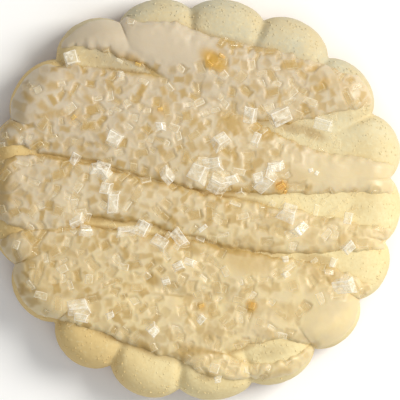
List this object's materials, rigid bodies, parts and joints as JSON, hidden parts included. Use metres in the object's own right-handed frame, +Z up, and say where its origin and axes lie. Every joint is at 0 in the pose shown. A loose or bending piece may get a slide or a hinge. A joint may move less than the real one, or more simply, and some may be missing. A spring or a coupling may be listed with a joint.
{
  "type": "iced and sugared shortbread biscuit",
  "caption": "Round shortbread biscuit with a fluted edge and flat base, drizzled with bands of pale icing and scattered with coarse clear sugar crystals.",
  "frame": {"origin": "middle of the flat base, at the centre of the biscuit's box seen from above", "axes": "+Z up through the iced top, the shortest way through the biscuit; +X runs along the icing bands towards their right ends and +Y towards the top edge of the shown face"},
  "size_m": [0.0518, 0.0503, 0.0105],
  "materials": {
    "shortbread": "matte",
    "icing": "satin",
    "sugar": "gloss",
    "amber_sugar": "gloss"
  },
  "bodies": {
    "root": {"shortbread_biscuit": "shortbread"}
  },
  "joints": []
}
